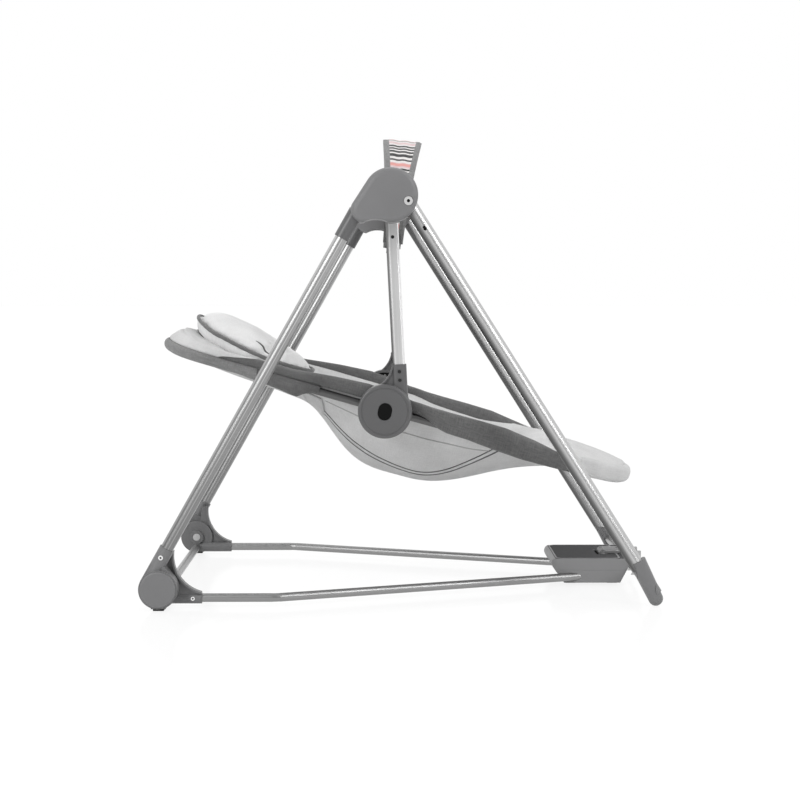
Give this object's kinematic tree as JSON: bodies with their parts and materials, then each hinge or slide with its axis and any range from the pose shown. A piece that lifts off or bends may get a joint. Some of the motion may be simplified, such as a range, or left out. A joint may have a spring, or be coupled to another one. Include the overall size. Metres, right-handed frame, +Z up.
{
  "type": "folding baby swing cradle",
  "caption": "Folding baby swing: tube A-frame with swing arms, reclining oval fabric seat, head pillow, arched toy bar and a flat base loop.",
  "frame": {"origin": "centre of the footprint, on the floor", "axes": "+X towards the foot end of the seat, +Y to the left side of the child, +Z up"},
  "size_m": [0.7869, 0.5908, 0.7198],
  "materials": {
    "aluminium_tube": "satin anodised tube",
    "grey_plastic": "fine grained moulding",
    "dark_plastic": "fine grained moulding",
    "black_plastic": "smooth",
    "white_bushing": "smooth",
    "steel": "zinc plated",
    "rubber_pad": "matte",
    "dark_fabric": "melange weave, padded",
    "light_fabric": "soft woven, padded",
    "pillow_fabric": "soft jersey, padded",
    "striped_fabric": "woven stripes"
  },
  "bodies": {
    "frame": {"front_leg_right": "aluminium_tube", "front_leg_left": "aluminium_tube", "foot_hub_right": "grey_plastic", "foot_hub_left": "grey_plastic", "hub_covers": "grey_plastic", "foot_pads": "rubber_pad", "hub_bolts": "steel", "housing_outer_right": "grey_plastic", "housing_outer_left": "grey_plastic", "housing_core_right": "dark_plastic", "housing_core_left": "dark_plastic", "housing_inner_right": "grey_plastic", "housing_inner_left": "grey_plastic", "swing_bushes": "white_bushing", "fold_bolts": "steel", "frame_rivets": "steel"},
    "rear_legs": {"rear_leg_right": "aluminium_tube", "rear_leg_left": "aluminium_tube", "rear_foot_cap_right": "grey_plastic", "rear_foot_cap_left": "grey_plastic", "rear_cross_tube": "aluminium_tube", "fold_bushes": "white_bushing"},
    "base": {"base_knuckle_right": "dark_plastic", "base_knuckle_left": "dark_plastic", "front_cross_tube": "aluminium_tube", "base_tube_right": "aluminium_tube", "base_tube_left": "aluminium_tube", "base_box_tray": "grey_plastic", "base_box_cover": "grey_plastic", "base_box_feet": "dark_plastic", "latch_pin": "steel", "base_rivets": "steel"},
    "latch": {"latch_lever": "dark_plastic", "latch_hooks": "steel"},
    "swing_axles": {"swing_axle_right": "steel", "swing_axle_left": "steel"},
    "arms": {"arm_hanger_right": "dark_plastic", "arm_hanger_left": "dark_plastic", "arm_tube_right": "aluminium_tube", "arm_tube_left": "aluminium_tube", "recline_housing_right": "grey_plastic", "recline_housing_left": "grey_plastic", "arm_rivets": "steel", "lock_springs": "steel"},
    "recline_locks": {"lock_disc_right": "steel", "lock_disc_left": "steel"},
    "button_right": {"recline_button_right": "black_plastic"},
    "button_left": {"recline_button_left": "black_plastic"},
    "seat": {"seat_hub_right": "dark_plastic", "seat_hub_left": "dark_plastic", "seat_tube_head": "aluminium_tube", "seat_tube_foot": "aluminium_tube", "tube_sleeves": "dark_fabric", "seat_rim": "dark_fabric", "seat_pocket": "light_fabric", "head_pillow": "pillow_fabric"},
    "toy_bar": {"toy_bar_band": "striped_fabric", "toy_bar_clips": "dark_plastic"}
  },
  "joints": [
    {"name": "rear_fold", "type": "hinge", "parent": "frame", "child": "rear_legs", "pos_m": [0.008, 0, 0.607], "axis": [0, 1, 0], "range_deg": [0, 54], "deforming": ["seat_pocket"]},
    {"name": "base_fold", "type": "hinge", "parent": "frame", "child": "base", "pos_m": [-0.364, 0, 0.0325], "axis": [0, 1, 0], "range_deg": [-54, 0]},
    {"name": "latch_turn", "type": "hinge", "parent": "base", "child": "latch", "pos_m": [0.33198, 0, 0.043], "axis": [0, -1, 0], "range_deg": [0, 25], "stiffness_Nm_per_rad": 0.2, "springref_deg": -20.05},
    {"name": "arm_stow", "type": "hinge", "parent": "frame", "child": "swing_axles", "pos_m": [-0.018, 0, 0.616], "axis": [0, 1, 0], "range_deg": [0, 33]},
    {"name": "swing", "type": "hinge", "parent": "swing_axles", "child": "arms", "pos_m": [-0.018, 0, 0.616], "axis": [0, 1, 0], "range_deg": [-15, 15]},
    {"name": "seat_stow", "type": "hinge", "parent": "arms", "child": "recline_locks", "pos_m": [-0.02668, 0, 0.29315], "axis": [0, 1, 0], "range_deg": [-110, 0]},
    {"name": "recline", "type": "hinge", "parent": "recline_locks", "child": "seat", "pos_m": [-0.02668, 0, 0.29315], "axis": [0, -1, 0], "range_deg": [-15, 15]},
    {"name": "button_press_right", "type": "slide", "parent": "arms", "child": "button_right", "axis": [0, 1, 0], "range_m": [0, 0.005], "stiffness_N_per_m": 400, "springref_m": -0.004, "deforming": ["lock_springs"]},
    {"name": "button_press_left", "type": "slide", "parent": "arms", "child": "button_left", "axis": [0, -1, 0], "range_m": [0, 0.005], "stiffness_N_per_m": 400, "springref_m": -0.004, "deforming": ["lock_springs"]},
    {"name": "toy_bar_tilt", "type": "hinge", "parent": "arms", "child": "toy_bar", "pos_m": [-0.0145, 0, 0.547], "axis": [0, -1, 0], "range_deg": [-50, 80]}
  ],
  "couplings": [
    {"joint": "base_fold", "follows": "rear_fold", "ratio": -1},
    {"joint": "arm_stow", "follows": "rear_fold", "ratio": 0.61111},
    {"joint": "seat_stow", "follows": "rear_fold", "ratio": -2.037}
  ]
}
